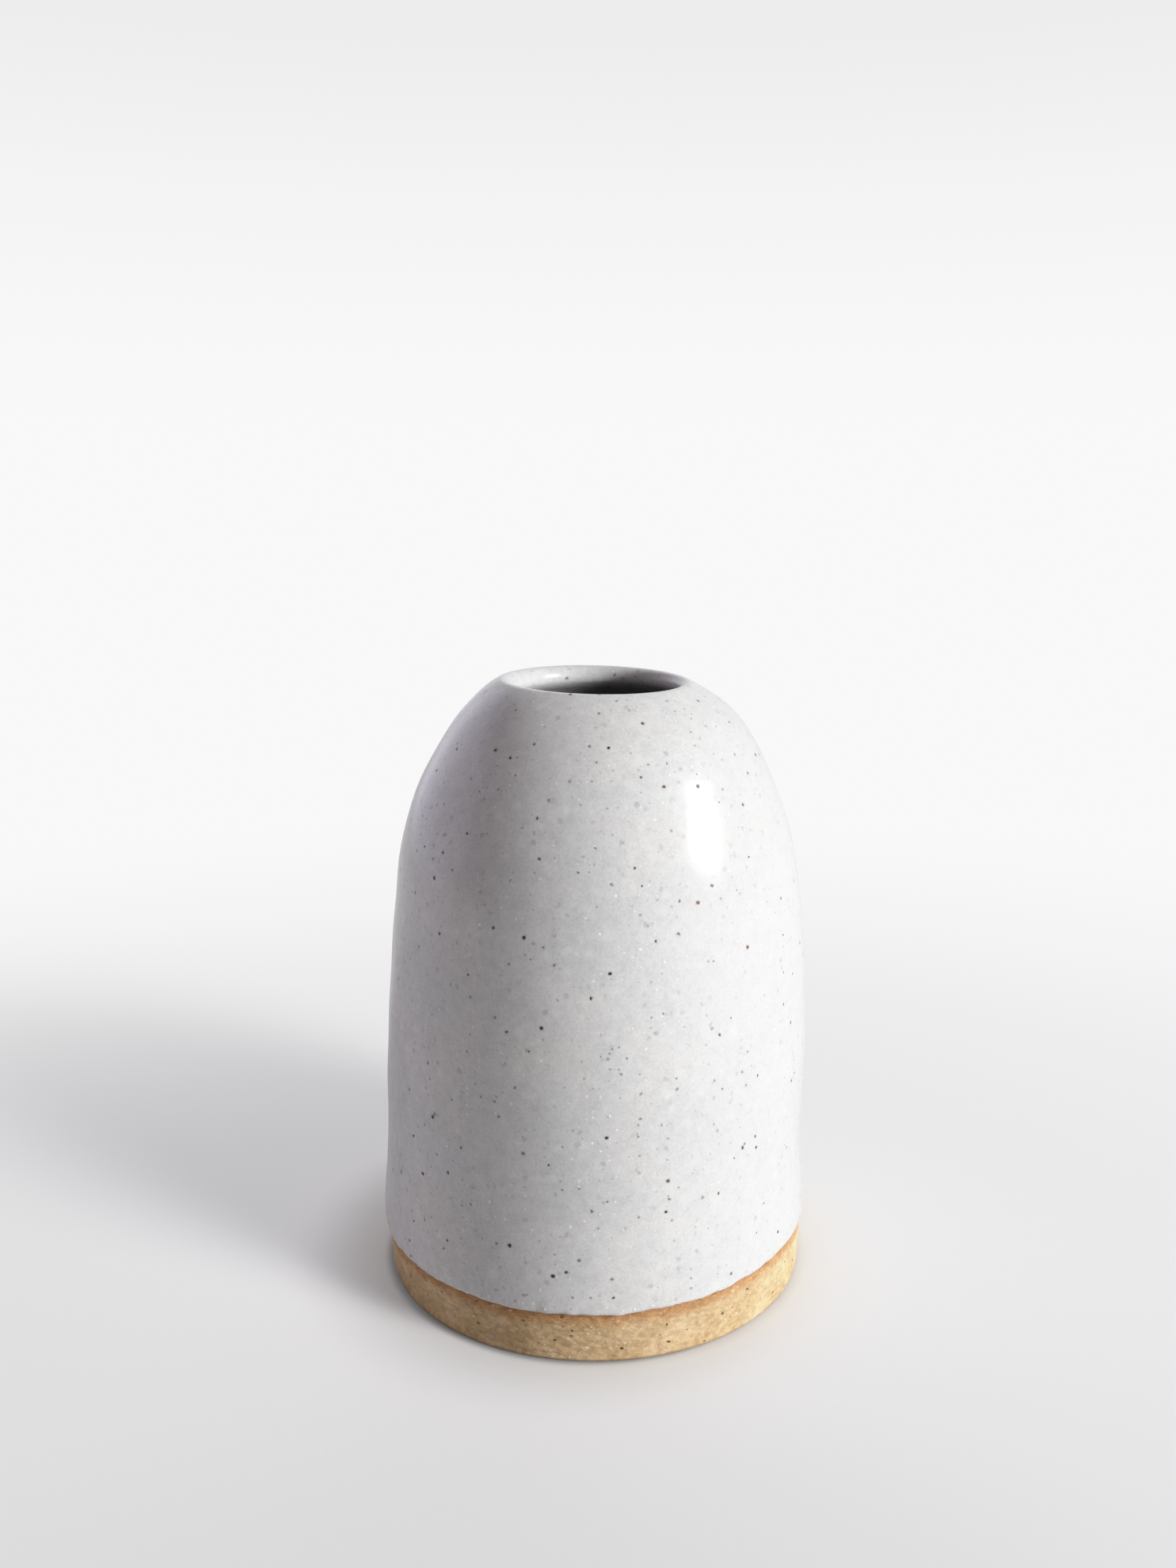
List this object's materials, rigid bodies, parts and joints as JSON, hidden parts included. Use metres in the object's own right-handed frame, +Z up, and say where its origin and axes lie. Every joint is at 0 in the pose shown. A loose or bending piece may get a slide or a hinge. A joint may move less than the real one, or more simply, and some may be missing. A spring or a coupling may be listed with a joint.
{
  "type": "bud vase",
  "caption": "Small thrown stoneware bud vase with a domed shoulder, a narrow round mouth, a speckled off-white glaze and a bare clay foot.",
  "frame": {"origin": "middle of the foot, on the surface that the vase stands on", "axes": "+Z up along the axis the vase was turned about; the vase is round, so +X and +Y are free, and -Y is taken as the front"},
  "size_m": [0.0646, 0.0646, 0.089],
  "materials": {
    "stoneware": "bare gritty fired clay, sandy buff, toasted orange under the glaze line",
    "outer_glaze": "satin-gloss off-white glaze with small iron specks",
    "liner_glaze": "satin-gloss off-white glaze with small iron specks"
  },
  "bodies": {
    "root": {"stoneware_body": "stoneware", "outer_glaze": "outer_glaze", "liner_glaze": "liner_glaze"}
  },
  "joints": []
}
